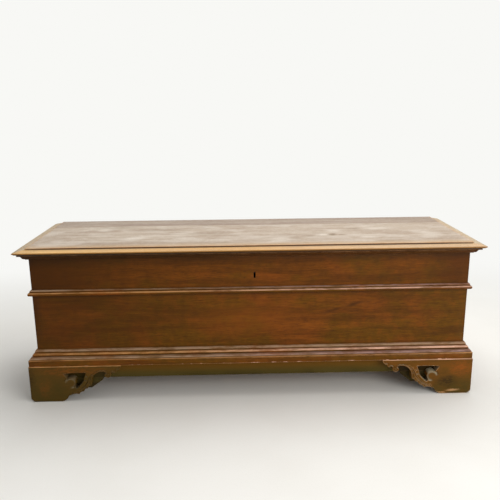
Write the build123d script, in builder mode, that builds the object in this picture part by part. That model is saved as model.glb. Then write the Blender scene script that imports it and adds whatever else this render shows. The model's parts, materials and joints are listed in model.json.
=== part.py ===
from build123d import *
import os

os.makedirs("parts", exist_ok=True)

# Driving dimensions in millimetres.
# The origin lies on the floor under the middle of the lid; the front faces -Y.
lid_width = 1500
lid_depth = 476
overall_height = 522
lid_thickness = 20
front_overhang = 39
rear_overhang = 20
board = 22
carcass_bottom = 72

# Edge of the lid: a sunk border, a rounded nose, and the step above the bed moulding.
border_width = 32
border_riser = 4
nose_step = 11
nose_step_rise = 3.5
nose_low = 7.6
nose_high = 12
nose_round = 2.2
nose_hollow = (6.1, 4.4)
border_hollow = (16, 14.6)
back_plank_width = 115

# Bed moulding under the nose, and its gap to the body.
bed_height = 16
bed_gap = 1.5

# Mouldings round the body, by height above the floor.
string_top = 383
string_height = 20
string_reach = 11.5
base_top = 178
base_height = 34
base_reach = 25.5
rail_height = 19

# Feet.
foot_thickness = 27.5
foot_length = 303
side_foot_length = 165
foot_flat = 96
worn_corner_height = 22
worn_corner_width = 9.6
corner_block = 50
corner_block_chamfer = 12
glue_block_depth = 30
glue_block_bottom = 35
glue_block_end = 235
glue_block_slant = (38, 28)
back_foot_length = 150
back_foot_flat = 75
back_foot_lip = 14

# Bottom planks, held in grooves.
plank_bottom = 92
plank_thickness = 18
groove_depth = 8
plank_count = 3

# Corner joints: dovetails, hidden behind a thin lap at the front.
tail_count = 6
tail_base = 44
tail_tip = 50
front_lap = 6

# Hinges.
hinge_x = 470
strap_width = 34
strap_thickness = 3
strap_reach = 283
strap_end_radius = 15
knuckle_radius = 5
knuckle_gap = 0.4
pin_radius = 2.5
pin_clearance = 0.05
pin_head_radius = 3.7
pin_head_thickness = 1.5
middle_knuckle = 14
knuckle_side_gap = 0.2
strap_neck = 16
strap_neck_length = 20
strap_root_gap = 0.5
strap_recess_width = 35
leaf_bottom = 400

# Battens inside the lid.
batten_x = 235
batten_width = 45
batten_thickness = 18
batten_chamfer = 4
batten_front_y = -150
batten_back_y = 180

# Nails.
nail_radius = 1.8
nail_head_radius = 4.5
nail_head_height = 2
nail_bite = 12

# Staple under the lid: a nailed plate and the eye that takes the bolt.
staple_y = -162.5
staple_nail_half = 17
staple_plate = (48, 20)
staple_plate_corner = 4
staple_plate_thickness = 2.5
staple_bottom = 470
staple_thickness = 6
staple_width = 19
staple_leg = 3.5

# Lock, a little right of the middle.
lock_x = 10
lock_nail_half = 80
keyhole_radius = 3.8
keyhole_width = 6.4
key_axis_z = 427.7
keyhole_bottom = 410.4
lock_plate_thickness = 2.5
lock_plate_half = 85
lock_plate_bottom = 396
lock_plate_top = 498
case_half = 75
case_bottom = 406
case_top = 492
case_depth = 28
case_wall = 2
case_slot_width = 12
key_pin_radius = 2.2
key_pin_length = 40

# Places worked out from the dimensions above.
rim_z = overall_height - lid_thickness
lid_half = lid_width / 2
lid_front_y = -lid_depth / 2
lid_back_y = lid_depth / 2
seam_y = lid_back_y - back_plank_width
body_half = lid_half - front_overhang
body_front_y = lid_front_y + front_overhang
body_back_y = lid_back_y - rear_overhang
inner_front_y = body_front_y + board
inner_back_y = body_back_y - board
inner_half = body_half - board
carcass_height = rim_z - carcass_bottom
rail_top = base_top - base_height
foot_height = rail_top - rail_height
hinge_y = body_back_y + knuckle_radius + knuckle_gap
hinge_z = rim_z - knuckle_radius - knuckle_gap
strap_z = rim_z - strap_thickness

front_plane = Plane(origin=(0, body_front_y, 0), x_dir=(0, -1, 0), z_dir=(-1, 0, 0))


def save(piece, name):
    piece.part.label = name
    export_step(piece.part, f"parts/{name}.step")


def mirrored(source):
    """The same piece for the right-hand side."""
    with BuildPart() as other:
        mirror(source.part, about=Plane.YZ)
    return other


def mitre(side):
    """The upright mitre plane through a front corner of the body, side -1 left, 1 right."""
    return Plane(origin=(side * body_half, body_front_y, 0), z_dir=(-side, -1, 0))


# Nail positions, shared by the nails and by the holes they sit in.
strap_nail_y = (160, 95, 30, -35)
leaf_nail_z = (475, 445, 415)
batten_nail_y = (-130, -10, 75, 160)
staple_nail_x = (lock_x - staple_nail_half, lock_x + staple_nail_half)
lock_nail_x = (lock_x - lock_nail_half, lock_x + lock_nail_half)
lock_nail_z = (403, 447, 491)

strap_nails = [(side * hinge_x, y) for side in (-1, 1) for y in strap_nail_y]
batten_nails = [(side * batten_x, y) for side in (-1, 1) for y in batten_nail_y]
staple_nails = [(x, staple_y) for x in staple_nail_x]
lock_nails = [(x, z) for x in lock_nail_x for z in lock_nail_z]
leaf_nails = [(side * hinge_x, z) for side in (-1, 1) for z in leaf_nail_z]
lid_nails = strap_nails + batten_nails + staple_nails


# The lid

def lid_nose(tip, inward):
    """Edge section of the lid from the underside to the field, tip at the outermost point."""
    step = tip + inward * nose_step
    low = (tip + inward * nose_round, rim_z + nose_low)
    high = (tip + inward * nose_round, rim_z + nose_high)
    under = (tip + inward * nose_hollow[0], rim_z + nose_hollow[1])
    over = (tip + inward * border_hollow[0], rim_z + border_hollow[1])
    border = tip + inward * border_width
    Line((step, rim_z), (step, rim_z + nose_step_rise))
    ThreePointArc((step, rim_z + nose_step_rise), under, low)
    ThreePointArc(low, (tip, rim_z + (nose_low + nose_high) / 2), high)
    ThreePointArc(high, over, (border, overall_height - border_riser))
    Line((border, overall_height - border_riser), (border, overall_height))


def trim_lid_ends():
    """Shapes both ends of a lid plank to the nose section."""
    with BuildSketch(Plane.XZ) as section:
        with BuildLine():
            lid_nose(-lid_half, 1)
            lid_nose(lid_half, -1)
            Line((border_width - lid_half, overall_height), (lid_half - border_width, overall_height))
            Line((nose_step - lid_half, rim_z), (lid_half - nose_step, rim_z))
        make_face()
    extrude(section.sketch, amount=lid_depth, both=True, mode=Mode.INTERSECT)


def drill_lid(points):
    """Nail holes up into the underside of a lid plank."""
    with BuildSketch(Plane.XY.offset(rim_z)) as holes:
        with Locations(*points):
            Circle(nail_radius)
    extrude(holes.sketch, amount=nail_bite, mode=Mode.SUBTRACT)


with BuildPart() as lid_front_plank:
    with BuildSketch(Plane.YZ):
        with BuildLine():
            lid_nose(lid_front_y, 1)
            Line((lid_front_y + border_width, overall_height), (seam_y, overall_height))
            Line((seam_y, overall_height), (seam_y, rim_z))
            Line((seam_y, rim_z), (lid_front_y + nose_step, rim_z))
        make_face()
    extrude(amount=lid_half, both=True)
    trim_lid_ends()
    drill_lid([point for point in lid_nails if point[1] < seam_y])
save(lid_front_plank, "lid_front_plank")

with BuildPart() as lid_back_plank:
    with BuildSketch(Plane.YZ):
        with Locations(((seam_y + lid_back_y) / 2, (rim_z + overall_height) / 2)):
            Rectangle(back_plank_width, lid_thickness)
    extrude(amount=lid_half, both=True)
    trim_lid_ends()
    drill_lid([point for point in lid_nails if point[1] > seam_y])
save(lid_back_plank, "lid_back_plank")


def batten():
    """Cross batten nailed under the lid, with its lower edges eased."""
    length = batten_back_y - batten_front_y
    middle_y = (batten_back_y + batten_front_y) / 2
    with BuildPart() as piece:
        with BuildSketch(Plane.XY.offset(rim_z)):
            with Locations((-batten_x, middle_y)):
                Rectangle(batten_width, length)
        extrude(amount=-batten_thickness)
        chamfer(piece.faces().sort_by(Axis.Z)[0].edges(), length=batten_chamfer)
        with BuildSketch(Plane.XY.offset(rim_z)):
            with Locations(*[(-batten_x, y) for y in batten_nail_y]):
                Circle(nail_radius)
        extrude(amount=-batten_thickness, mode=Mode.SUBTRACT)
    return piece


lid_left_batten = batten()
save(lid_left_batten, "lid_left_batten")
save(mirrored(lid_left_batten), "lid_right_batten")


# Mouldings. Each outline is drawn with x outward from the body's face and y up.

def bed_outline():
    """Bed moulding: a hollow under the lid's step, a fillet, and a quarter round."""
    top = rim_z
    bottom = rim_z - bed_height
    outer = front_overhang - nose_step
    with BuildLine() as path:
        Line((outer, top), (outer, top - 1.8))
        ThreePointArc((outer, top - 1.8), (outer - 6.5, top - 2.9), (outer - 10, top - 5.5))
        Line((outer - 10, top - 5.5), (outer - 10, top - 7.2))
        Line((outer - 10, top - 7.2), (outer - 11.5, top - 7.2))
        ThreePointArc((outer - 11.5, top - 7.2), (outer - 14, top - 12), (outer - 20, bottom + 2))
        Line((outer - 20, bottom + 2), (outer - 20, bottom))
        Line((outer - 20, bottom), (bed_gap, bottom))
        Line((bed_gap, bottom), (bed_gap, top))
        Line((bed_gap, top), (outer, top))
    make_face(path.edges())


def string_outline():
    """String moulding: a small bead above a larger one, flat underneath."""
    top = string_top
    bottom = string_top - string_height
    with BuildLine() as path:
        Line((0, bottom), (0, top))
        ThreePointArc((0, top), (4.2, top - 1.6), (6, top - 5.5))
        Line((6, top - 5.5), (4.5, top - 7.5))
        ThreePointArc((4.5, top - 7.5), (9.8, top - 9.5), (string_reach, top - 14))
        ThreePointArc((string_reach, top - 14), (10.4, top - 17.5), (7, bottom))
        Line((7, bottom), (0, bottom))
    make_face(path.edges())


def base_outline():
    """Base moulding: three rolls, each further out than the one above, and a square lip."""
    top = base_top
    bottom = rail_top
    with BuildLine() as path:
        Line((0, bottom), (0, top))
        ThreePointArc((0, top), (5.6, top - 3), (7, top - 8.5))
        Line((7, top - 8.5), (6.2, top - 11.5))
        ThreePointArc((6.2, top - 11.5), (12.4, top - 14), (14, top - 19))
        Line((14, top - 19), (12.6, top - 22.5))
        ThreePointArc((12.6, top - 22.5), (19.5, top - 24.5), (22, top - 29))
        Line((22, top - 29), (21, top - 31))
        Line((21, top - 31), (base_reach, top - 31.8))
        Line((base_reach, top - 31.8), (base_reach, bottom))
        Line((base_reach, bottom), (0, bottom))
    make_face(path.edges())


def rail_outline():
    """Plinth rail: a plain strip under the base moulding."""
    with Locations((base_reach / 2, rail_top - rail_height / 2)):
        Rectangle(base_reach, rail_height)


def front_run(outline):
    """A moulding along the front, mitred at both ends."""
    with BuildPart() as piece:
        with BuildSketch(front_plane):
            outline()
        extrude(amount=lid_half, both=True)
        split(bisect_by=mitre(-1), keep=Keep.TOP)
        split(bisect_by=mitre(1), keep=Keep.TOP)
    return piece


def left_run(outline, back_y):
    """The same moulding along the left end, from the mitre to back_y."""
    plane = Plane(origin=(-body_half, lid_front_y, 0), x_dir=(-1, 0, 0), z_dir=(0, 1, 0))
    with BuildPart() as piece:
        with BuildSketch(plane):
            outline()
        extrude(amount=back_y - lid_front_y)
        split(bisect_by=mitre(-1), keep=Keep.BOTTOM)
    return piece


moulding_runs = (
    ("lid_{}_moulding", bed_outline, lid_back_y),
    ("{}_string_moulding", string_outline, body_back_y),
    ("{}_base_moulding", base_outline, body_back_y),
    ("{}_plinth_rail", rail_outline, body_back_y),
)
for pattern, outline, back_y in moulding_runs:
    left_piece = left_run(outline, back_y)
    save(front_run(outline), pattern.format("front"))
    save(left_piece, pattern.format("left"))
    save(mirrored(left_piece), pattern.format("right"))


# The carcass

def tails(base_y, tip_y):
    """A row of dovetails up a corner, widening from base_y to tip_y."""
    pitch = carcass_height / tail_count
    with Locations(*[(0, carcass_bottom + (row + 0.5) * pitch) for row in range(tail_count)]):
        Polygon(
            (base_y, -tail_base / 2),
            (base_y, tail_base / 2),
            (tip_y, tail_tip / 2),
            (tip_y, -tail_tip / 2),
            align=None,
        )


def wall_sketch(low_y, high_y):
    with Locations(((low_y + high_y) / 2, carcass_bottom + carcass_height / 2)):
        Rectangle(high_y - low_y, carcass_height)


def cut_sockets(base_y, tip_y):
    """Sockets in a front or back board for the dovetails of both end boards."""
    for start_x in (-body_half, inner_half):
        with BuildSketch(Plane.YZ.offset(start_x)) as sockets:
            tails(base_y, tip_y)
        extrude(sockets.sketch, amount=board, mode=Mode.SUBTRACT)


def cut_groove(low_y, high_y):
    """Groove along a front or back board for the edge of the bottom planks."""
    with BuildSketch(Plane.YZ) as groove:
        with Locations(((low_y + high_y) / 2, plank_bottom + plank_thickness / 2)):
            Rectangle(high_y - low_y, plank_thickness)
    extrude(groove.sketch, amount=inner_half, both=True, mode=Mode.SUBTRACT)


def keyhole(mode):
    """A round top for the key's stem over a straight slot for its bit."""
    slot_height = key_axis_z - keyhole_bottom
    with Locations((lock_x, key_axis_z)):
        Circle(keyhole_radius, mode=mode)
    with Locations((lock_x, key_axis_z - slot_height / 2)):
        Rectangle(keyhole_width, slot_height, mode=mode)


def lock_nail_holes(mode):
    with Locations(*lock_nails):
        Circle(nail_radius, mode=mode)


with BuildPart() as front_board:
    with BuildSketch(Plane.YZ):
        wall_sketch(body_front_y, inner_front_y)
    extrude(amount=body_half, both=True)
    cut_sockets(inner_front_y, body_front_y + front_lap)
    cut_groove(inner_front_y - groove_depth, inner_front_y)
    with BuildSketch(Plane.XZ.offset(-body_front_y)):
        keyhole(Mode.ADD)
    extrude(amount=-board, mode=Mode.SUBTRACT)
    with BuildSketch(Plane.XZ.offset(-inner_front_y)):
        lock_nail_holes(Mode.ADD)
    extrude(amount=nail_bite, mode=Mode.SUBTRACT)
save(front_board, "front_board")

with BuildPart() as back_board:
    with BuildSketch(Plane.YZ):
        wall_sketch(inner_back_y, body_back_y)
    extrude(amount=body_half, both=True)
    cut_sockets(inner_back_y, body_back_y)
    cut_groove(inner_back_y, inner_back_y + groove_depth)
    with BuildSketch(Plane.XY.offset(rim_z)):
        with Locations((-hinge_x, body_back_y - board / 2), (hinge_x, body_back_y - board / 2)):
            Rectangle(strap_recess_width, board)
    extrude(amount=-strap_thickness, mode=Mode.SUBTRACT)
    with BuildSketch(Plane.XZ.offset(-body_back_y)):
        with Locations(*leaf_nails):
            Circle(nail_radius)
    extrude(amount=nail_bite, mode=Mode.SUBTRACT)
save(back_board, "back_board")

with BuildPart() as left_end_board:
    with BuildSketch(Plane.YZ.offset(-body_half)):
        wall_sketch(inner_front_y, inner_back_y)
        tails(inner_front_y, body_front_y + front_lap)
        tails(inner_back_y, body_back_y)
    extrude(amount=board)
    with BuildSketch(Plane.YZ.offset(-inner_half)):
        with Locations(((inner_front_y + inner_back_y) / 2, plank_bottom + plank_thickness / 2)):
            Rectangle(inner_back_y - inner_front_y, plank_thickness)
    extrude(amount=-groove_depth, mode=Mode.SUBTRACT)
save(left_end_board, "left_end_board")
save(mirrored(left_end_board), "right_end_board")


def bottom_plank(place):
    """One lengthwise bottom plank; the first and last reach into the front and back grooves."""
    width = (inner_back_y - inner_front_y) / plank_count
    low_y = inner_front_y + place * width
    middle_y = low_y + width / 2
    with BuildPart() as piece:
        with BuildSketch(Plane.XY.offset(plank_bottom)):
            with Locations((0, middle_y)):
                Rectangle(2 * (inner_half + groove_depth), width)
            if place == 0:
                with Locations((0, low_y - groove_depth / 2)):
                    Rectangle(2 * inner_half, groove_depth)
            if place == plank_count - 1:
                with Locations((0, low_y + width + groove_depth / 2)):
                    Rectangle(2 * inner_half, groove_depth)
        extrude(amount=plank_thickness)
    return piece


for place, name in enumerate(("front", "middle", "rear")):
    save(bottom_plank(place), f"bottom_{name}_plank")


# The feet. Outlines are drawn with x inward from the outer corner and y up.

def front_foot_outline():
    """Scroll bracket: a stepped toe, a small curl, an arch, leaf lobes and a flat sole."""
    with BuildLine() as path:
        Line((0, 0), (0, foot_height))
        Line((0, foot_height), (foot_length, foot_height))
        Line((foot_length, foot_height), (foot_length, 120.5))
        ThreePointArc((foot_length, 120.5), (297, 112), (289, 109))
        ThreePointArc((289, 109), (286, 102.5), (279, 99.5))
        ThreePointArc((279, 99.5), (273.5, 101.5), (268.5, 97.5))
        ThreePointArc((268.5, 97.5), (259.5, 82.2), (248, 90.5))
        ThreePointArc((248, 90.5), (249.5, 95.5), (254, 97))
        ThreePointArc((254, 97), (250.5, 102), (242, 104.8))
        ThreePointArc((242, 104.8), (215, 95), (204, 74))
        Line((204, 74), (202, 56))
        ThreePointArc((202, 56), (193, 53), (189, 45))
        ThreePointArc((189, 45), (180, 42.5), (175.5, 34.5))
        ThreePointArc((175.5, 34.5), (166.5, 32.5), (160, 25))
        ThreePointArc((160, 25), (146, 26.5), (134, 22.5))
        Line((134, 22.5), (125, 20))
        ThreePointArc((125, 20), (118.5, 8.5), (foot_flat + 5, 0))
        Line((foot_flat + 5, 0), (0, 0))
    make_face(path.edges())


def foot_piercing():
    """The opening round the volute: straight above, curling in to a point below."""
    with BuildLine() as path:
        ThreePointArc((112, 99), (149, 102), (187, 101))
        ThreePointArc((187, 101), (181, 86), (177, 71))
        ThreePointArc((177, 71), (166, 57), (151, 44))
        Line((151, 44), (145, 53))
        ThreePointArc((145, 53), (151, 61), (151.5, 70))
        ThreePointArc((151.5, 70), (147, 79.5), (137, 82.8))
        ThreePointArc((137, 82.8), (130, 82.4), (124, 79.8))
        Line((124, 79.8), (120, 87))
        Line((120, 87), (112, 99))
    make_face(path.edges(), mode=Mode.SUBTRACT)


def side_foot_outline():
    """Side bracket: a short toe, a hollow and a swell down to the sole."""
    with BuildLine() as path:
        Line((0, 0), (0, foot_height))
        Line((0, foot_height), (side_foot_length, foot_height))
        Line((side_foot_length, foot_height), (side_foot_length, 117))
        ThreePointArc((side_foot_length, 117), (140, 108), (132, 84))
        Line((132, 84), (125, 84))
        ThreePointArc((125, 84), (121, 44), (foot_flat + 8, 12))
        ThreePointArc((foot_flat + 8, 12), (foot_flat + 1, 8), (foot_flat - 2, 0))
        Line((foot_flat - 2, 0), (0, 0))
    make_face(path.edges())


outer_x = -body_half - foot_thickness
outer_y = body_front_y - foot_thickness


def wear_corner():
    """Rounds off the foot's lower outer corner, the same on both sides of the mitre."""
    diagonal = Plane(origin=(outer_x, outer_y, 0), x_dir=(1, 1, 0), z_dir=(1, -1, 0))
    with BuildSketch(diagonal) as worn:
        with BuildLine() as path:
            ThreePointArc((0, worn_corner_height), (2.6, 8), (worn_corner_width, 0))
            Line((worn_corner_width, 0), (worn_corner_width, -1))
            Line((worn_corner_width, -1), (-1, -1))
            Line((-1, -1), (-1, worn_corner_height))
            Line((-1, worn_corner_height), (0, worn_corner_height))
        make_face(path.edges())
    extrude(worn.sketch, amount=foot_thickness, both=True, mode=Mode.SUBTRACT)


with BuildPart() as front_left_foot:
    with BuildSketch(Plane(origin=(outer_x, outer_y, 0), x_dir=(1, 0, 0), z_dir=(0, -1, 0))):
        front_foot_outline()
        foot_piercing()
    extrude(amount=-foot_thickness)
    split(bisect_by=mitre(-1), keep=Keep.TOP)
    wear_corner()
save(front_left_foot, "front_left_foot")
save(mirrored(front_left_foot), "front_right_foot")

with BuildPart() as left_front_side_foot:
    with BuildSketch(Plane(origin=(outer_x, outer_y, 0), x_dir=(0, 1, 0), z_dir=(1, 0, 0))):
        side_foot_outline()
    extrude(amount=foot_thickness)
    split(bisect_by=mitre(-1), keep=Keep.BOTTOM)
    wear_corner()
save(left_front_side_foot, "left_front_side_foot")
save(mirrored(left_front_side_foot), "right_front_side_foot")

with BuildPart() as left_rear_side_foot:
    with BuildSketch(Plane(origin=(outer_x, body_back_y, 0), x_dir=(0, -1, 0), z_dir=(-1, 0, 0))):
        side_foot_outline()
    extrude(amount=-foot_thickness)
save(left_rear_side_foot, "left_rear_side_foot")
save(mirrored(left_rear_side_foot), "right_rear_side_foot")

with BuildPart() as left_back_foot:
    with BuildSketch(Plane.XZ.offset(-body_back_y)):
        with BuildLine():
            Polyline(
                (-body_half, 0),
                (-body_half, carcass_bottom),
                (back_foot_length - body_half, carcass_bottom),
                (back_foot_length - body_half, carcass_bottom - back_foot_lip),
                (back_foot_flat - body_half, 0),
                close=True,
            )
        make_face()
    extrude(amount=board)
save(left_back_foot, "left_back_foot")
save(mirrored(left_back_foot), "right_back_foot")


def post_block(front_y):
    """Square block in the angle of a foot, under the corner of the carcass."""
    with BuildPart() as piece:
        with BuildSketch(Plane.XY):
            with Locations((-body_half + corner_block / 2, front_y + corner_block / 2)):
                Rectangle(corner_block, corner_block)
        extrude(amount=carcass_bottom)
        inner_edge = piece.edges().filter_by(Axis.Z).group_by(Axis.X)[-1]
        chamfer(inner_edge, length=corner_block_chamfer)
    return piece


for name, front_y in (("front", body_front_y), ("rear", inner_back_y - corner_block)):
    left_block = post_block(front_y)
    save(left_block, f"{name}_left_corner_block")
    save(mirrored(left_block), f"{name}_right_corner_block")

with BuildPart() as front_left_glue_block:
    block_start = -body_half + corner_block
    block_end = outer_x + glue_block_end
    with BuildSketch(Plane.XZ.offset(-body_front_y)):
        with BuildLine():
            Polyline(
                (block_start, glue_block_bottom),
                (block_start, carcass_bottom),
                (block_end, carcass_bottom),
                (block_end, glue_block_bottom + glue_block_slant[1]),
                (block_end - glue_block_slant[0], glue_block_bottom),
                close=True,
            )
        make_face()
    extrude(amount=-glue_block_depth)
save(front_left_glue_block, "front_left_glue_block")
save(mirrored(front_left_glue_block), "front_right_glue_block")


# The hinges: a strap under the lid, a leaf on the back, and a pin.

def knuckle(start_x, width, hole_radius):
    """A rolled knuckle round the hinge axis."""
    with BuildSketch(Plane.YZ.offset(start_x)) as ring:
        with Locations((hinge_y, hinge_z)):
            Circle(knuckle_radius)
            Circle(hole_radius, mode=Mode.SUBTRACT)
    extrude(ring.sketch, amount=width)


def clear_knuckle(start_x, width, hole_radius):
    """Opens the hole again where the plate reaches over it."""
    with BuildSketch(Plane.YZ.offset(start_x)) as hole:
        with Locations((hinge_y, hinge_z)):
            Circle(hole_radius)
    extrude(hole.sketch, amount=width, mode=Mode.SUBTRACT)


side_knuckle = (strap_width - middle_knuckle) / 2 - knuckle_side_gap

with BuildPart() as hinge_left_strap:
    root_y = body_back_y - strap_root_gap
    end_y = hinge_y - strap_reach
    with BuildSketch(Plane.XY.offset(strap_z)):
        with BuildLine():
            Polyline(
                (-hinge_x - strap_width / 2, root_y),
                (-hinge_x + strap_width / 2, root_y),
                (-hinge_x + strap_width / 2, inner_back_y),
                (-hinge_x + strap_neck / 2, end_y + strap_neck_length),
                (-hinge_x - strap_neck / 2, end_y + strap_neck_length),
                (-hinge_x - strap_width / 2, inner_back_y),
                close=True,
            )
        make_face()
        with Locations((-hinge_x, end_y + strap_end_radius)):
            Circle(strap_end_radius)
        with Locations((-hinge_x, (root_y + hinge_y) / 2)):
            Rectangle(middle_knuckle, hinge_y - root_y)
        with Locations(*[(-hinge_x, y) for y in strap_nail_y]):
            Circle(nail_radius, mode=Mode.SUBTRACT)
    extrude(amount=strap_thickness)
    knuckle(-hinge_x - middle_knuckle / 2, middle_knuckle, pin_radius + pin_clearance)
    clear_knuckle(-hinge_x - middle_knuckle / 2, middle_knuckle, pin_radius + pin_clearance)
save(hinge_left_strap, "hinge_left_strap")
save(mirrored(hinge_left_strap), "hinge_right_strap")

with BuildPart() as hinge_left_leaf:
    leaf_top = hinge_z - knuckle_radius - knuckle_gap
    with BuildSketch(Plane.XZ.offset(-body_back_y)):
        with Locations((-hinge_x, (leaf_bottom + leaf_top) / 2)):
            Rectangle(strap_width, leaf_top - leaf_bottom)
        for side in (-1, 1):
            with Locations((-hinge_x + side * (strap_width - side_knuckle) / 2, (leaf_top + hinge_z) / 2)):
                Rectangle(side_knuckle, hinge_z - leaf_top)
        with Locations(*[(-hinge_x, z) for z in leaf_nail_z]):
            Circle(nail_radius, mode=Mode.SUBTRACT)
    extrude(amount=-strap_thickness)
    for start_x in (-hinge_x - strap_width / 2, -hinge_x + strap_width / 2 - side_knuckle):
        knuckle(start_x, side_knuckle, pin_radius)
        clear_knuckle(start_x, side_knuckle, pin_radius)
save(hinge_left_leaf, "hinge_left_leaf")
save(mirrored(hinge_left_leaf), "hinge_right_leaf")

with BuildPart() as hinge_left_pin:
    with BuildSketch(Plane.YZ.offset(-hinge_x - strap_width / 2)):
        with Locations((hinge_y, hinge_z)):
            Circle(pin_radius)
    extrude(amount=strap_width)
    for start_x in (-hinge_x - strap_width / 2 - pin_head_thickness, -hinge_x + strap_width / 2):
        with BuildSketch(Plane.YZ.offset(start_x)):
            with Locations((hinge_y, hinge_z)):
                Circle(pin_head_radius)
        extrude(amount=pin_head_thickness)
save(hinge_left_pin, "hinge_left_pin")
save(mirrored(hinge_left_pin), "hinge_right_pin")


# Nails. One nail points up from a plate whose outer face is at z = 0.

def nail(shank_length):
    head_curve = (nail_head_radius**2 + nail_head_height**2) / (2 * nail_head_height)
    with BuildPart() as piece:
        with BuildSketch(Plane.XZ):
            with BuildLine():
                Line((0, -nail_head_height), (0, shank_length))
                Line((0, shank_length), (nail_radius, shank_length))
                Line((nail_radius, shank_length), (nail_radius, 0))
                Line((nail_radius, 0), (nail_head_radius, 0))
                RadiusArc((nail_head_radius, 0), (0, -nail_head_height), head_curve)
            make_face()
        revolve(axis=Axis.Z)
    return piece


def nail_group(shank_length, places, turn):
    """Copies of one nail at places, each turned from pointing up."""
    one = nail(shank_length)
    with BuildPart() as piece:
        with Locations(*[Location(place, turn) for place in places]):
            add(one.part)
    return piece


points_up = (0, 0, 0)
points_forward = (90, 0, 0)

strap_nail_group = nail_group(
    strap_thickness + nail_bite, [(x, y, strap_z) for x, y in strap_nails], points_up)
save(strap_nail_group, "hinge_strap_nails")

batten_nail_group = nail_group(
    batten_thickness + nail_bite, [(x, y, rim_z - batten_thickness) for x, y in batten_nails], points_up)
save(batten_nail_group, "batten_nails")

leaf_nail_group = nail_group(
    strap_thickness + nail_bite,
    [(x, body_back_y + strap_thickness, z) for x, z in leaf_nails],
    points_forward)
save(leaf_nail_group, "hinge_leaf_nails")

plate_face_y = inner_front_y + lock_plate_thickness
lock_nail_group = nail_group(
    lock_plate_thickness + nail_bite, [(x, plate_face_y, z) for x, z in lock_nails], points_forward)
save(lock_nail_group, "lock_nails")


# The staple under the lid, whose eye takes the bolt.

staple_plate_z = rim_z - staple_plate_thickness

with BuildPart() as lid_staple:
    with BuildSketch(Plane.XY.offset(staple_plate_z)):
        with Locations((lock_x, staple_y)):
            RectangleRounded(*staple_plate, staple_plate_corner)
        with Locations(*staple_nails):
            Circle(nail_radius, mode=Mode.SUBTRACT)
    extrude(amount=staple_plate_thickness)
    loop_height = staple_plate_z - staple_bottom
    eye_height = loop_height - staple_leg
    with BuildSketch(Plane.YZ.offset(lock_x - staple_thickness / 2)):
        with Locations((staple_y, staple_bottom + loop_height / 2)):
            Rectangle(staple_width, loop_height)
        with Locations((staple_y, staple_plate_z - eye_height / 2)):
            Rectangle(staple_width - 2 * staple_leg, eye_height, mode=Mode.SUBTRACT)
    extrude(amount=staple_thickness)
save(lid_staple, "lid_staple")

staple_nail_group = nail_group(
    staple_plate_thickness + nail_bite, [(x, y, staple_plate_z) for x, y in staple_nails], points_up)
save(staple_nail_group, "staple_nails")


# The lock: plate with two keeps, bolt, spring, key pin and case.

bolt_bottom = 477
bolt_top = 485
bolt_front_y = -167
bolt_back_y = -158
bolt_gap = 0.3
bolt_nose_x = lock_x + 7
bolt_end_x = lock_x + 72
tail_thickness = 4
tail_bottom = 443.5
keep_starts = (lock_x + 10, lock_x + 50)
keep_width = 5
keep_wall = 2.5

with BuildPart() as lock_plate:
    plate_middle_z = (lock_plate_bottom + lock_plate_top) / 2
    with BuildSketch(Plane.XZ.offset(-inner_front_y)):
        with Locations((lock_x, plate_middle_z)):
            Rectangle(2 * lock_plate_half, lock_plate_top - lock_plate_bottom)
        keyhole(Mode.SUBTRACT)
        lock_nail_holes(Mode.SUBTRACT)
    extrude(amount=-lock_plate_thickness)
    for start_x in keep_starts:
        with BuildSketch(Plane.YZ.offset(start_x)):
            keep_back_y = bolt_back_y + bolt_gap + keep_wall
            with Locations(((plate_face_y + keep_back_y) / 2, (bolt_bottom + bolt_top) / 2)):
                Rectangle(keep_back_y - plate_face_y, bolt_top - bolt_bottom + 2 * keep_wall)
            with Locations(((bolt_front_y + bolt_back_y) / 2, (bolt_bottom + bolt_top) / 2)):
                Rectangle(
                    bolt_back_y - bolt_front_y + 2 * bolt_gap,
                    bolt_top - bolt_bottom + 2 * bolt_gap,
                    mode=Mode.SUBTRACT,
                )
        extrude(amount=keep_width)
save(lock_plate, "lock_plate")

with BuildPart() as lock_bolt:
    with BuildSketch(Plane.XZ.offset(-bolt_front_y)):
        with BuildLine():
            Polyline(
                (bolt_nose_x, bolt_bottom),
                (bolt_nose_x, bolt_top),
                (bolt_end_x, bolt_top),
                (bolt_end_x, bolt_bottom),
                close=True,
            )
        make_face()
    extrude(amount=bolt_front_y - bolt_back_y)
    with BuildSketch(Plane.XZ.offset(-bolt_front_y)):
        with BuildLine():
            Polyline(
                (lock_x + 32, bolt_bottom),
                (lock_x + 46, bolt_bottom),
                (lock_x + 46, tail_bottom),
                (lock_x + 4, tail_bottom),
                (lock_x + 4, tail_bottom + 5),
                (lock_x - 4, tail_bottom + 5),
                (lock_x - 4, tail_bottom),
                (lock_x - 10, tail_bottom),
                (lock_x - 10, tail_bottom + 10),
                (lock_x + 32, tail_bottom + 10),
                close=True,
            )
        make_face()
    extrude(amount=-tail_thickness)
save(lock_bolt, "lock_bolt")

with BuildPart() as lock_spring:
    spring_start = lock_x + 18
    spring_end = lock_x + 48
    spring_width = 7
    spring_thickness = 1.1
    spring_low = bolt_top + bolt_gap
    spring_high = spring_low + 3.5
    with BuildSketch(Plane.XZ.offset(-bolt_front_y)):
        with BuildLine():
            middle_x = (spring_start + spring_end) / 2
            under_start = (spring_start, spring_high)
            under_end = (spring_end, spring_high)
            over_start = (spring_start, spring_high + spring_thickness)
            over_end = (spring_end, spring_high + spring_thickness)
            ThreePointArc(under_start, (middle_x, spring_low), under_end)
            Line(under_end, over_end)
            ThreePointArc(over_end, (middle_x, spring_low + spring_thickness), over_start)
            Line(over_start, under_start)
        make_face()
    extrude(amount=-spring_width)
save(lock_spring, "lock_spring")

case_back_y = plate_face_y + case_depth

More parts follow.
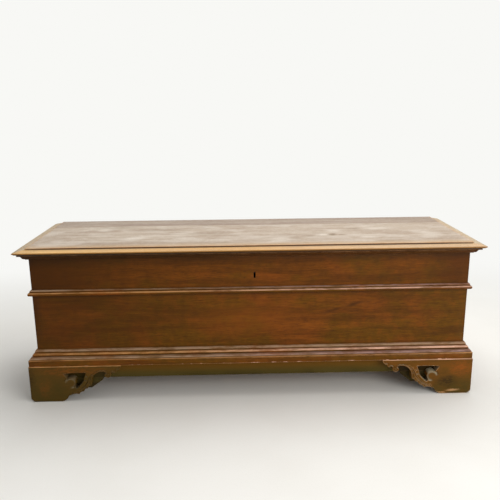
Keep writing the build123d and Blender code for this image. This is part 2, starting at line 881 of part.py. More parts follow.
with BuildPart() as lock_case:
    with BuildSketch(Plane.XZ.offset(-plate_face_y)):
        with Locations((lock_x, (case_bottom + case_top) / 2)):
            Rectangle(2 * case_half, case_top - case_bottom)
    extrude(amount=-case_depth)
    case_front_face = lock_case.faces().sort_by(Axis.Y)[0]
    offset(amount=-case_wall, openings=case_front_face)
    with BuildSketch(Plane.XY.offset(case_top)):
        slot_depth = case_depth - 2 * case_wall
        with Locations((lock_x, (plate_face_y + case_back_y) / 2 - case_wall / 2)):
            Rectangle(case_slot_width, slot_depth)
    extrude(amount=-case_wall, mode=Mode.SUBTRACT)
save(lock_case, "lock_case")

with BuildPart() as lock_key_pin:
    with BuildSketch(Plane.XZ.offset(case_wall - case_back_y)):
        with Locations((lock_x, key_axis_z)):
            Circle(key_pin_radius)
    extrude(amount=key_pin_length)
save(lock_key_pin, "lock_key_pin")
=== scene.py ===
"""Antique walnut chest with pierced scroll feet, dressed round its packed frame."""

import json
import math
from functools import cached_property, partial

import bmesh
import bpy
from mathutils import Euler, Matrix, Vector, kdtree, noise

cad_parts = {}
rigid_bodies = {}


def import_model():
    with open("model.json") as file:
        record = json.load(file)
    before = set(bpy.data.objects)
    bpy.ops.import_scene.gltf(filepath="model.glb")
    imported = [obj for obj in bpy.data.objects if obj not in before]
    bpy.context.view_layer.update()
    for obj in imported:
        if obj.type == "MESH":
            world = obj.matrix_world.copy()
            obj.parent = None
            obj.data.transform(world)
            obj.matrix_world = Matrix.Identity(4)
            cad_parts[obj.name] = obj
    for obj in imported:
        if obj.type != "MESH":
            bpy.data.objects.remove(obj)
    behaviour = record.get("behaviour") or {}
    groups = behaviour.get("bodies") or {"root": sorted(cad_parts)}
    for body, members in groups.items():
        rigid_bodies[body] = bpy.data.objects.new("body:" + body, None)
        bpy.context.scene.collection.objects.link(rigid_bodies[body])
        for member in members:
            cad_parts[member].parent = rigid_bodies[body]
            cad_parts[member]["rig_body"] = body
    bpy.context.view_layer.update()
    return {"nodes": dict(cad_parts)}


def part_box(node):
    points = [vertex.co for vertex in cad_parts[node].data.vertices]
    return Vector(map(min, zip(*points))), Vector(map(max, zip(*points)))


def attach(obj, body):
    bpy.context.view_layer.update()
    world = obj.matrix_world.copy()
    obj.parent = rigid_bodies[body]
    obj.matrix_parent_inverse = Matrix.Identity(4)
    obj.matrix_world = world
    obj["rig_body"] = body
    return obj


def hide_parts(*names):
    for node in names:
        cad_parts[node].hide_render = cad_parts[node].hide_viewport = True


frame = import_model()

bl_info = {
    "name": "Walnut chest on scroll feet",
    "version": (1, 0, 0),
    "blender": (4, 5, 0),
    "location": "View3D > Sidebar > Chest",
    "description": "Dresses an antique walnut chest in worn, carved wood and forged iron",
    "category": "Object",
}

MILLIMETRE = 0.001
MERGE_DISTANCE = 1e-5
FLAT_ANGLE = math.radians(0.5)
SHARP_ANGLE = math.radians(33)
SHORTEST_EASED = 2.6 * MILLIMETRE
ARRIS_STEPS = 2
FOOT_ARRIS = 0.0011

# Waves of a hand-planed face, per metre, and the share of the quick ones.
WAVE_SEED = 11
SLOW_WAVE, QUICK_WAVE, BITE_WAVE = 7.0, 31.0, 47.0
QUICK_SHARE = 0.4

# A board's number moves its grain, so that like boards differ.
BOARD_COUNT = 17
BOARD_STEP = 3.0
BOARD_SHIFTS = (3.1, 5.3, 7.7)

# Faces, lines and heights of the chest that the finishes follow, in metres.
FRONT_FACE = -0.199
FOOT_FACE = -0.2265
RAIL_FOOT = 0.12475
CHIP_LINE = 0.1256
BLOOM_LINE = 0.3806
LID_SEAM = 0.1213
LID_FIELD_HALF = 0.718
LID_FIELD_FRONT = -0.206
LID_SPOT_HEIGHT = 0.518

# Spans over which one finish gives way to another, in metres.
INNER_LENGTH = (0.6885, 0.6895)
INNER_FRONT = (-0.1775, -0.1765)
INNER_BACK = (0.1955, 0.1965)
INNER_FLOOR = (0.0915, 0.0925)
BEHIND_RAIL = (0.075, 0.12)
BOARD_FOOT = (0.1245, 0.1252)
UNDER_STRING = (0.349, 0.3625)
STRING_FOOT = (0.3630, 0.3640)
ABOVE_STRING = (0.36, 0.38)
UNDER_LID = (0.448, 0.486)
BED_MOULDING = (0.478, 0.488)
FRONT_BOARD = (-0.19, -0.18)
BACK_PLANK = (0.1225, 0.1235)
LID_UNDERSIDE = (0.5022, 0.5028)
LID_SHADE = (0.5075, 0.5105)
LID_NOSE = (0.5120, 0.5145)
LID_RISER = (0.5212, 0.5218)


def paint(red, green, blue):
    """A colour as it is read off a screen, 0 to 255, as the linear values that shaders take."""
    shares = (red / 255, green / 255, blue / 255)
    return tuple(c / 12.92 if c <= 0.04045 else ((c + 0.055) / 1.055) ** 2.4 for c in shares)


def colour_prop(name, description, default):
    return bpy.props.FloatVectorProperty(
        name=name, description=description, subtype="COLOR", size=3, min=0, max=1, default=default
    )


def length_prop(name, description, default):
    return bpy.props.FloatProperty(
        name=name, description=description, subtype="DISTANCE", unit="LENGTH",
        min=0, soft_max=0.1, precision=5, default=default,
    )


class ChestColours(bpy.types.PropertyGroup):
    """Colours of the woods and the iron."""

    # Body, deep is also painted shade: on the front's left, under the lid's nose and on the bed
    # moulding.
    body_deep: colour_prop("Body, deep", "Darkest streaks of the front and ends", paint(66, 34, 2))
    body_plain: colour_prop("Body", "Main colour of the front and ends", paint(110, 61, 8))
    body_olive: colour_prop("Body, olive", "Greenish brown clouds", paint(100, 64, 4))
    body_glow: colour_prop("Body, glowing", "Reddish orange patches", paint(140, 72, 18))
    # Crown colours: rubbed and bloomed wood, also used as painted highlight on the crowns.
    crown_tan: colour_prop("Crown, tan", "Bead crowns rubbed down to the wood", paint(196, 142, 88))
    crown_pink: colour_prop("Crown, pink", "Bead crowns rubbed brightest", paint(222, 176, 150))
    crown_grey: colour_prop("Crown, grey", "Crowns where the wax has bloomed", paint(162, 134, 108))
    crown_lilac: colour_prop("Crown, lilac", "Shaded crowns with bloomed wax", paint(166, 134, 126))
    lid_deep: colour_prop("Lid, deep", "Brown streaks in the bleached lid", paint(148, 126, 106))
    lid_plain: colour_prop("Lid", "Main colour of the bleached lid", paint(188, 173, 155))
    lid_pale: colour_prop("Lid, pale", "Palest streaks of the lid", paint(216, 206, 192))
    lid_stain: colour_prop("Lid, stained", "Olive brown stains in the lid", paint(104, 84, 54))
    lid_strip: colour_prop("Lid, back plank", "Greyer tone of the back plank", paint(143, 125, 110))
    lid_tan: colour_prop("Lid, front edge", "Browner band along the front", paint(184, 148, 104))
    rim_left: colour_prop("Front rim, left", "Brighter end of the border", paint(230, 184, 114))
    rim_front: colour_prop("Front rim", "Polished tan of the front border", paint(205, 158, 97))
    rim_right: colour_prop("Front rim, right", "Paler end of the border", paint(203, 168, 127))
    rim_side: colour_prop("Side rim", "Drier border at the ends", paint(186, 166, 136))
    rim_grey: colour_prop("Left corner", "Olive wear at the border's left end", paint(146, 124, 84))
    nose: colour_prop("Nose", "Golden brown of the lid's rounded front", paint(140, 92, 26))
    # The riser colour is dirt, and painted shade on the step, which faces the front away from the
    # light above.
    riser: colour_prop("Riser", "Dirt on the step between field and border", paint(92, 56, 28))
    worn_edge: colour_prop("Worn edge", "Wood laid bare on the arrises", paint(198, 150, 102))
    foot_plain: colour_prop("Feet", "Main colour of the scroll feet", paint(112, 74, 20))
    # This colour is dirt near the floor, and also the painted shade on the feet to the left.
    foot_dark: colour_prop("Feet, grimy", "Dirt on the feet near the floor", paint(64, 54, 16))
    dust: colour_prop("Dust", "Grey dust lying in the carving", paint(150, 142, 118))
    under: colour_prop("Underside", "Darkened wood under the chest", paint(72, 61, 22))
    bare_deep: colour_prop("Bare wood, deep", "Dark streaks of unpolished wood", paint(92, 64, 38))
    bare_plain: colour_prop("Bare wood", "Unpolished wood inside and behind", paint(142, 106, 70))
    # The grime colour is dirt, and also painted shade in inner corners and cuts, under the lid and
    # under the string moulding.
    grime: colour_prop("Grime", "Dirt in the corners", paint(36, 22, 6))
    iron: colour_prop("Iron", "Forged iron", paint(62, 56, 52))
    rust: colour_prop("Rust", "Rust on the iron", paint(96, 56, 32))


class ChestWear(bpy.types.PropertyGroup):
    """How far use has rounded and dented the wood."""

    arris: length_prop("Arris", "Rounding of an edge inside a joint", 0.0004)
    worn_arris: length_prop("Worn arris", "Rounding of an edge that hands reach", 0.0016)
    sway: length_prop("Sway", "How far a hand-planed face wanders", 0.00025)
    nibble: length_prop("Nibble", "Deepest bite out of a worn edge", 0.0012)


class ChestCarving(bpy.types.PropertyGroup):
    """The cuts in the scroll feet."""

    line_width: length_prop("Line width", "Width of the line beside the arch", 0.0022)
    line_inset: length_prop("Line inset", "From the arch to the line beside it", 0.0052)
    line_depth: length_prop("Line depth", "Depth of the line beside the arch", 0.0012)
    gouge_width: length_prop("Gouge width", "Width of a leaf vein", 0.0034)
    gouge_depth: length_prop("Gouge depth", "Depth of a leaf vein", 0.0019)
    pitch: length_prop("Carving pitch", "Size of the faces that hold the cuts", 0.0013)


class ChestStage(bpy.types.PropertyGroup):
    """Floor, lamps and camera."""

    floor: colour_prop("Floor", "Pale floor", paint(238, 236, 230))
    backdrop: colour_prop("Backdrop", "What is seen beyond the floor", paint(248, 248, 245))
    ambient: bpy.props.FloatProperty(
        name="Ambient", description="Light from all round", min=0, soft_max=2, default=0.42
    )
    overhead: bpy.props.FloatProperty(
        name="Overhead lamp", description="Power of the large lamp above", unit="POWER",
        min=0, default=56,
    )
    front: bpy.props.FloatProperty(
        name="Front lamp", description="Power of the lamp to the front right", unit="POWER",
        min=0, default=50,
    )


SETTINGS = {
    "chest_colours": ChestColours,
    "chest_wear": ChestWear,
    "chest_carving": ChestCarving,
    "chest_stage": ChestStage,
}


# Materials


class Finish:
    """One material, built up node by node."""

    def __init__(self, name, gloss=0.2):
        self.colours = bpy.context.scene.chest_colours
        self.material = bpy.data.materials.new(name)
        self.material.use_nodes = True
        self.nodes = self.material.node_tree.nodes
        self.links = self.material.node_tree.links
        self.shader = self.nodes["Principled BSDF"]
        self.shader.inputs["Specular IOR Level"].default_value = gloss
        coordinates = self.nodes.new("ShaderNodeTexCoord")
        self.here = coordinates.outputs["Object"]
        self.facing = coordinates.outputs["Normal"]

    @cached_property
    def x(self):
        return self.part(self.here, 0)

    @cached_property
    def y(self):
        return self.part(self.here, 1)

    @cached_property
    def z(self):
        return self.part(self.here, 2)

    def feed(self, socket, value):
        """Links a socket to another node's output, or sets it to a plain value."""
        if isinstance(value, bpy.types.NodeSocket):
            self.links.new(value, socket)
        elif socket.type == "RGBA" and len(value) == 3:
            socket.default_value = (*value, 1.0)
        else:
            socket.default_value = value

    def add(self, kind, inputs, output=0, **settings):
        node = self.nodes.new(kind)
        for name, value in settings.items():
            setattr(node, name, value)
        for key, value in inputs.items():
            self.feed(node.inputs[key], value)
        return node.outputs[output]

    def part(self, place, axis):
        """One coordinate of a vector."""
        return self.add("ShaderNodeSeparateXYZ", {0: place}, axis)

    def stretched(self, place, scale):
        return self.add("ShaderNodeMapping", {"Vector": place, "Scale": scale})

    def cloud(self, place, scale, detail, rough=0.55, output=0):
        values = {"Vector": place, "Scale": scale, "Detail": detail, "Roughness": rough}
        return self.add("ShaderNodeTexNoise", values, output)

    def reckon(self, operation, first, second=0.0):
        return self.add("ShaderNodeMath", {0: first, 1: second}, operation=operation)

    def sum(self, first, second):
        return self.reckon("ADD", first, second)

    def minus(self, first, second):
        return self.reckon("SUBTRACT", first, second)

    def times(self, first, second):
        return self.reckon("MULTIPLY", first, second)

    def unsigned(self, value):
        return self.reckon("ABSOLUTE", value)

    def vector_sum(self, first, second, operation="ADD"):
        return self.add("ShaderNodeVectorMath", {0: first, 1: second}, operation=operation)

    def pushed(self, place, push, reach):
        """A place moved by a vector that is drawn out to a reach."""
        push = self.add("ShaderNodeVectorMath", {0: push, "Scale": reach}, operation="SCALE")
        return self.vector_sum(place, push)

    def ease(self, value, low, high, start=0.0, end=1.0):
        """Turns value's span from low to high smoothly into start to end."""
        values = {"Value": value, 1: low, 2: high, 3: start, 4: end}
        return self.add("ShaderNodeMapRange", values, interpolation_type="SMOOTHSTEP")

    def mix(self, share, first, second):
        values = {0: share, 6: first, 7: second}
        return self.add("ShaderNodeMix", values, 2, data_type="RGBA")

    def mark(self, place, centre, reach, soft, turn=(0, 0, 0)):
        """A soft spot: 1 at the centre, 0 beyond its reach."""
        values = {"Vector": place, "Location": centre, "Rotation": turn, "Scale": reach}
        away = self.add("ShaderNodeMapping", values, vector_type="TEXTURE")
        distance = self.add("ShaderNodeVectorMath", {0: away}, "Value", operation="LENGTH")
        return self.ease(distance, soft, 1.0, 1.0, 0.0)

    def band(self, value, middle, half, soft):
        """1 where value is within half of middle, fading out over soft."""
        off = self.unsigned(self.minus(value, middle))
        return self.ease(off, half, half + soft, 1.0, 0.0)

    def attribute(self, name):
        return self.add("ShaderNodeAttribute", {}, "Fac", attribute_name=name)

    def finish(self, colour, roughness, height, distance, strength):
        self.feed(self.shader.inputs["Base Color"], colour)
        self.feed(self.shader.inputs["Roughness"], roughness)
        relief = {"Height": height, "Distance": distance, "Strength": strength}
        bump = self.add("ShaderNodeBump", relief)
        self.feed(self.shader.inputs["Normal"], bump)
        return self.material


class TornPlaces:
    """Places pushed about by a cloud, so that the spots drawn there get torn edges."""

    def __init__(self, finish, cloud, reach):
        self.finish = finish
        self.place = finish.pushed(finish.here, cloud, reach)
        self.mean_push = reach / 2

    def spot(self, centre, reach, soft):
        middle = tuple(value + self.mean_push for value in centre)
        return self.finish.mark(self.place, middle, reach, soft)


def along_grain(axis, along, across):
    """Scale of a pattern drawn out along one axis."""
    return tuple(along if place == axis else across for place in range(3))


class Grain:
    """Streaks, fine fibres and pores of a board whose grain runs along one axis."""

    def __init__(self, finish, axis):
        board = finish.attribute("board")
        shift = finish.add("ShaderNodeCombineXYZ", {
            place: finish.times(board, factor) for place, factor in enumerate(BOARD_SHIFTS)
        })
        place = finish.vector_sum(finish.here, shift)

        def layer(place, along, across, scale, detail, rough):
            drawn_out = finish.stretched(place, along_grain(axis, along, across))
            return finish.cloud(drawn_out, scale, detail, rough)

        drift = finish.cloud(finish.stretched(place, along_grain(axis, 1.0, 3.0)), 2.4, 2, output=1)
        drift = finish.vector_sum(drift, (0.5, 0.5, 0.5), "SUBTRACT")
        flow = finish.pushed(place, drift, 0.035)
        self.streaks = layer(flow, 1.1, 17, 1.9, 5, 0.6)
        self.fibres = layer(flow, 7, 120, 2.2, 4, 0.62)
        self.pores = layer(flow, 26, 620, 1.6, 2, 0.5)
        self.patches = layer(place, 1.0, 1.9, 5.5, 4, 0.55)
        self.clouds = layer(place, 1.0, 1.6, 9.0, 3, 0.5)
        self.runs = layer(place, 1.0, 5.0, 14, 4, 0.7)
        self.dents = finish.cloud(place, 38, 3, 0.5)


def wood_height(finish, grain):
    """Height of the surface, from fibres, open pores and small dents, and the share of pores."""
    solid = finish.ease(grain.pores, 0.36, 0.46)
    height = finish.sum(finish.times(grain.fibres, 0.5), finish.times(solid, 0.5))
    return finish.sum(height, finish.times(grain.dents, 0.6)), finish.minus(1.0, solid)


# Crowns of the beads and of the feet's top ledge, pale from rubbing and from a painted highlight:
# height, half width, how pale, and colour at the left and right.
CROWN_WEAR_AND_HIGHLIGHTS = (
    (0.3808, 0.0018, 0.55, "crown_grey", "crown_lilac"),
    (0.3728, 0.0018, 0.85, "crown_tan", "crown_pink"),
    (0.1735, 0.0034, 0.75, "crown_grey", "crown_grey"),
    (0.1635, 0.0024, 0.90, "crown_tan", "crown_pink"),
    (0.1545, 0.0014, 0.55, "crown_grey", "crown_lilac"),
    (0.1505, 0.0022, 0.85, "crown_grey", "crown_lilac"),
    (0.1462, 0.0009, 0.85, "crown_tan", "crown_tan"),
    (0.1247, 0.0011, 1.00, "crown_tan", "crown_pink"),
)


def rub_crowns(f, colour, rubbed):
    """Lays the pale lines of the crowns, rubbed and with painted highlight, over a colour, by
    height alone.
    """
    c = f.colours
    # Painted highlight: the crowns turn pinker and brighter to the right.
    along = f.ease(f.x, -0.40, 0.45)
    for height, half, strength, left, right in CROWN_WEAR_AND_HIGHLIGHTS:
        line = f.times(f.band(f.z, height, half * 0.6, half), f.times(rubbed, strength))
        colour = f.mix(line, colour, f.mix(along, getattr(c, left), getattr(c, right)))
    return colour


def polished_walnut(name, axis, marks, beaded=True, dusty=0.0):
    """Dark waxed walnut: soft olive and reddish clouds, faint streaks, pale crowns and arrises."""
    f = Finish(name, 0.1)
    c = f.colours
    grain = Grain(f, axis)
    height, pore = wood_height(f, grain)
    olive = f.sum(grain.clouds, f.ease(f.z, 0.30, 0.44, -0.06, 0.08))
    colour = f.mix(f.ease(olive, 0.36, 0.62), c.body_olive, c.body_plain)
    colour = f.mix(f.ease(grain.patches, 0.48, 0.70, 0.0, 0.6), colour, c.body_glow)
    colour = f.mix(f.ease(grain.dents, 0.48, 0.74, 0.0, 0.28), colour, c.body_glow)
    colour = f.mix(f.ease(grain.dents, 0.28, 0.52, 0.24, 0.0), colour, c.body_deep)
    colour = f.mix(f.ease(grain.streaks, 0.34, 0.56, 0.46, 0.0), colour, c.body_deep)
    colour = f.mix(f.ease(grain.fibres, 0.34, 0.66, 0.34, 0.0), colour, c.body_deep)
    colour = f.mix(f.times(pore, 0.35), colour, c.grime)
    colour = marks(f, colour)
    bare = inside_share(f)
    bare_colour = f.mix(f.ease(grain.streaks, 0.4, 0.6), c.bare_deep, c.bare_plain)
    colour = f.mix(bare, colour, bare_colour)
    if dusty:
        up = f.ease(f.part(f.facing, 2), 0.2, 0.8, 0.0, dusty)
        # Dust on upward faces, weaker to the left as painted shade.
        colour = f.mix(f.times(up, f.ease(f.x, -0.4, 0.2, 0.3, 1.0)), colour, c.dust)
    if beaded:
        colour = rub_crowns(f, colour, f.ease(grain.runs, 0.36, 0.62, 0.30, 1.0))
    rub = f.times(f.attribute("worn"), f.ease(grain.dents, 0.34, 0.56, 0.15, 0.9))
    # Worn arrises fade to the left as painted shade.
    rub = f.times(rub, f.ease(f.x, -0.45, 0.30, 0.06 if dusty else 0.20, 1.0))
    colour = f.mix(rub, colour, c.worn_edge)
    # Inner corners darkened: dirt and painted shade.
    grimy = f.times(f.attribute("grime"), f.ease(grain.runs, 0.4, 0.6, 0.35, 0.75))
    colour = f.mix(grimy, colour, c.grime)
    # Dust in the carving, weaker to the left as painted shade.
    dusted = f.times(f.ease(grain.dents, 0.3, 0.6, 0.5, 0.9), f.ease(f.x, -0.5, 0.0, 0.35, 1.0))
    colour = f.mix(f.times(f.attribute("dust"), dusted), colour, c.dust)
    roughness = f.sum(f.ease(grain.dents, 0.3, 0.7, 0.40, 0.54), f.times(bare, 0.25))
    return f.finish(colour, roughness, height, 0.0005, 0.5)


def inside_share(f):
    """1 on the surfaces inside the chest, which were never polished."""
    along = f.ease(f.unsigned(f.x), *INNER_LENGTH, 1, 0)
    within = f.times(along, f.ease(f.y, *INNER_FRONT))
    within = f.times(within, f.ease(f.y, *INNER_BACK, 1, 0))
    return f.times(within, f.ease(f.z, *INNER_FLOOR))


# Dark smears on the front: centre, half lengths, and how dark they are.
SMEARS = (
    ((0.338, FRONT_FACE, 0.316), (0.052, 0.05, 0.011), 0.60),
    ((0.278, FRONT_FACE, 0.299), (0.040, 0.05, 0.007), 0.40),
)
SMEAR_SLANT = math.radians(-18)


def moulding_marks(f, colour):
    """Chips along the plinth rail's foot, bloom on the string, painted shade on the bed moulding.
    """
    c = f.colours
    chips = f.ease(f.cloud(f.stretched(f.here, (1, 1, 3)), 46, 2, 0.6), 0.60, 0.66)
    # Chips fade to the left as painted shade.
    chips = f.times(chips, f.ease(f.x, -0.35, 0.15, 0.25, 0.95))
    chips = f.times(chips, f.band(f.z, CHIP_LINE, 0.0012, 0.0014))
    colour = f.mix(chips, colour, c.crown_pink)
    at_left = f.ease(f.x, -0.62, -0.55, 0.8, 0.0)
    colour = f.mix(f.times(f.band(f.z, BLOOM_LINE, 0.0014, 0.0014), at_left), colour, c.crown_grey)
    # Painted shade on the bed moulding under the lid, browner to the right.
    under_lid = f.ease(f.z, *BED_MOULDING, 0.0, 0.8)
    return f.mix(under_lid, colour, f.mix(f.ease(f.x, -0.6, 0.4), c.grime, c.body_deep))


def front_marks(f, colour):
    """Stains on the front: slanting smears, painted shade to the left, under the lid, under the
    string and on the recessed foot of the board.
    """
    c = f.colours
    # Painted shade: the front grows darker towards the left.
    colour = f.mix(f.ease(f.x, -0.72, -0.10, 0.62, 0.0), colour, c.body_deep)
    ends = f.sum(f.ease(f.x, 0.54, 0.68, 0.0, 0.65), f.ease(f.x, -0.70, -0.40, 0.70, 0.0))
    colour = f.mix(f.times(ends, f.ease(f.z, *ABOVE_STRING)), colour, c.body_deep)
    middle = f.mark(f.here, (-0.02, FRONT_FACE, 0.27), (0.26, 0.05, 0.09), 0.1)
    colour = f.mix(f.times(middle, 0.30), colour, c.body_glow)
    for place, reach, share in SMEARS:
        smear = f.mark(f.here, place, reach, 0.0, (0, SMEAR_SLANT, 0))
        colour = f.mix(f.times(smear, share), colour, c.grime)
    # Painted shade under the lid's overhang.
    colour = f.mix(f.ease(f.z, *UNDER_LID, 0.0, 0.55), colour, c.grime)
    # Painted shade under the string moulding.
    under_string = f.ease(f.z, *UNDER_STRING, 0.0, 0.45)
    under_string = f.times(under_string, f.ease(f.z, *STRING_FOOT, 1, 0))
    colour = f.mix(under_string, colour, c.grime)
    # Painted shade on the board's foot, recessed behind the plinth rail: darker low down, tinted
    # olive as painted bounce light from the floor, darker still behind the feet.
    in_front = f.ease(f.y, *FRONT_BOARD, 1.0, 0.0)
    foot = f.times(f.ease(f.z, *BOARD_FOOT, 1.0, 0.0), in_front)
    foot_shade_colour = f.mix(f.ease(f.z, *BEHIND_RAIL), c.under, c.body_olive)
    colour = f.mix(foot, colour, foot_shade_colour)
    shade_behind_feet = f.ease(f.unsigned(f.x), 0.47, 0.50, 0.0, 0.8)
    shade_behind_feet = f.times(shade_behind_feet, f.ease(f.x, -0.4, 0.4, 0.5, 1.0))
    return f.mix(f.times(foot, shade_behind_feet), colour, c.grime)


def lid_walnut(name, axis):
    """Bleached, dry lid: pale streaky field, brown stains and a polished tan border."""
    f = Finish(name, 0.3)
    c = f.colours
    grain = Grain(f, axis)
    height, pore = wood_height(f, grain)
    colour = f.mix(f.ease(grain.streaks, 0.32, 0.62, 0.35, 1.0), c.lid_deep, c.lid_plain)
    colour = f.mix(f.ease(grain.clouds, 0.46, 0.70, 0.0, 0.6), colour, c.lid_pale)
    colour = f.mix(f.ease(grain.patches, 0.50, 0.72, 0.0, 0.35), colour, c.lid_deep)
    colour = f.mix(f.ease(grain.fibres, 0.36, 0.64, 0.35, 0.0), colour, c.lid_deep)
    narrowed = f.stretched(f.here, (1, 2, 1))
    speckle = f.cloud(narrowed, 110, 3, 0.7)
    colour = f.mix(f.ease(speckle, 0.56, 0.70, 0.0, 0.5), colour, c.lid_pale)
    torn = TornPlaces(f, f.cloud(narrowed, 30, 3, 0.6, output=1), 0.024)
    for places, spot_colour in ((LID_PALE_SPOTS, c.lid_pale), (LID_STAINS, c.lid_stain)):
        for centre_x, centre_y, reach_x, reach_y, share in places:
            centre = (centre_x, centre_y, LID_SPOT_HEIGHT)
            spot = torn.spot(centre, (reach_x, reach_y, 0.05), 0.1)
            colour = f.mix(f.times(spot, share), colour, spot_colour)
    colour = f.mix(f.ease(f.x, -0.35, 0.10, 0.0, 0.15), colour, c.lid_deep)
    back_plank = f.ease(f.y, *BACK_PLANK)
    strip = f.times(back_plank, f.ease(grain.streaks, 0.40, 0.60, 0.95, 0.62))
    colour = f.mix(strip, colour, c.lid_strip)
    seam = f.band(f.y, LID_SEAM, 0.0012, 0.0016)
    colour = f.mix(f.times(seam, f.ease(grain.runs, 0.42, 0.6, 0.1, 0.6)), colour, c.lid_pale)
    edge = f.minus(f.unsigned(f.x), LID_FIELD_HALF)
    front = f.minus(LID_FIELD_FRONT, f.y)
    beyond = f.reckon("MAXIMUM", edge, front)
    colour = f.mix(f.ease(front, -0.050, -0.006, 0.0, 0.65), colour, c.lid_tan)
    worn_line = f.band(beyond, -0.0022, 0.0014, 0.0018)
    worn_line = f.times(worn_line, f.ease(grain.runs, 0.38, 0.6, 0.15, 0.7))
    colour = f.mix(worn_line, colour, c.worn_edge)
    rim = f.ease(beyond, -0.0002, 0.0006)
    front_colour = f.mix(f.ease(f.x, -0.65, -0.15), c.rim_left, c.rim_front)
    front_colour = f.mix(f.ease(f.x, -0.1, 0.5), front_colour, c.rim_right)
    rim_front = f.ease(f.minus(front, edge), -0.012, 0.006)
    rim_colour = f.mix(rim_front, c.rim_side, front_colour)
    corner = f.times(f.ease(f.x, -0.752, -0.720, 0.6, 0.0), f.ease(f.y, -0.19, -0.08, 1.0, 0.0))
    rim_colour = f.mix(corner, rim_colour, c.rim_grey)
    rim_colour = f.mix(f.ease(grain.streaks, 0.35, 0.60, 0.30, 0.0), rim_colour, c.lid_deep)
    rim_colour = f.mix(f.ease(grain.fibres, 0.35, 0.60, 0.25, 0.0), rim_colour, c.lid_deep)
    colour = f.mix(rim, colour, rim_colour)
    # Dirt and painted shade on the riser, weaker towards the ends.
    riser = f.band(beyond, 0.0006, 0.0008, 0.0008)
    riser = f.times(riser, f.ease(f.z, *LID_RISER, 1.0, 0.0))
    riser = f.times(riser, f.ease(f.unsigned(f.x), 0.60, 0.72, 0.95, 0.35))
    colour = f.mix(f.times(riser, f.ease(edge, -0.006, 0.0, 1.0, 0.3)), colour, c.riser)
    colour = f.mix(f.ease(f.z, *LID_NOSE, 0.95, 0.0), colour, c.nose)
    shade = f.mix(f.ease(f.x, -0.6, 0.4), c.grime, c.body_deep)
    colour = f.mix(f.ease(f.z, *LID_SHADE, 1.0, 0.0), colour, shade)
    underside = f.mix(f.ease(grain.streaks, 0.38, 0.62), c.bare_deep, c.bare_plain)
    underside = f.mix(f.ease(grain.patches, 0.45, 0.70, 0.0, 0.5), underside, c.bare_deep)
    below = f.ease(f.z, *LID_UNDERSIDE, 1.0, 0.0)
    colour = f.mix(f.times(below, f.ease(beyond, -0.012, -0.010, 1.0, 0.0)), colour, underside)
    rub = f.times(f.attribute("worn"), f.ease(grain.dents, 0.34, 0.56, 0.1, 0.6))
    colour = f.mix(rub, colour, c.worn_edge)
    # Inner corners darkened: dirt and painted shade.
    colour = f.mix(f.times(f.attribute("grime"), 0.7), colour, c.grime)
    colour = f.mix(f.times(pore, 0.25), colour, c.lid_stain)
    roughness = f.ease(grain.dents, 0.3, 0.7, 0.52, 0.68)
    return f.finish(colour, roughness, height, 0.0006, 0.5)


# Stains in the lid: centre x and y, half length and half width, and how brown they are.
LID_STAINS = (
    (0.283, -0.063, 0.022, 0.024, 0.80),
    (0.314, -0.066, 0.026, 0.010, 0.65),
    (0.372, 0.027, 0.042, 0.015, 0.55),
    (0.202, -0.078, 0.024, 0.014, 0.45),
    (0.150, -0.112, 0.034, 0.014, 0.35),
    (0.451, -0.103, 0.014, 0.010, 0.30),
    (0.060, -0.190, 0.230, 0.016, 0.40),
    (-0.100, -0.165, 0.120, 0.014, 0.25),
    (0.480, -0.170, 0.120, 0.030, 0.20),
    (-0.080, 0.215, 0.520, 0.030, 0.25),
    (-0.330, 0.050, 0.140, 0.036, 0.25),
    (-0.150, -0.020, 0.110, 0.030, 0.22),
    (-0.480, 0.100, 0.120, 0.030, 0.25),
)

# Pale patches in the lid, with the same columns.
LID_PALE_SPOTS = (
    (0.252, -0.066, 0.034, 0.024, 0.75),
    (0.398, -0.112, 0.050, 0.020, 0.60),
    (0.470, 0.030, 0.070, 0.030, 0.55),
    (0.620, -0.080, 0.060, 0.060, 0.50),
    (0.300, 0.010, 0.050, 0.020, 0.40),
    (-0.520, 0.060, 0.040, 0.040, 0.50),
    (-0.380, -0.080, 0.060, 0.020, 0.50),
    (-0.200, -0.100, 0.070, 0.016, 0.40),
    (-0.640, -0.120, 0.040, 0.040, 0.35),
)

# Pale scuffs near the soles: centre x and z, half length and half height.
SCUFFS = (
    (0.676, 0.013, 0.030, 0.006),
    (0.640, 0.006, 0.020, 0.004),
)

# Patches on the front feet: centre x and z, half lengths, how strong, and their colour.
FOOT_PATCHES = (
    ((0.700, 0.092), (0.060, 0.046), 0.75, "body_glow"),
    ((0.655, 0.044), (0.050, 0.030), 0.70, "grime"),
    ((0.630, 0.014), (0.036, 0.020), 0.50, "under"),
    ((-0.600, 0.108), (0.170, 0.024), 0.45, "body_glow"),
    ((-0.690, 0.050), (0.040, 0.050), 0.25, "body_glow"),
    ((-0.735, 0.080), (0.024, 0.080), 0.60, "grime"),
)


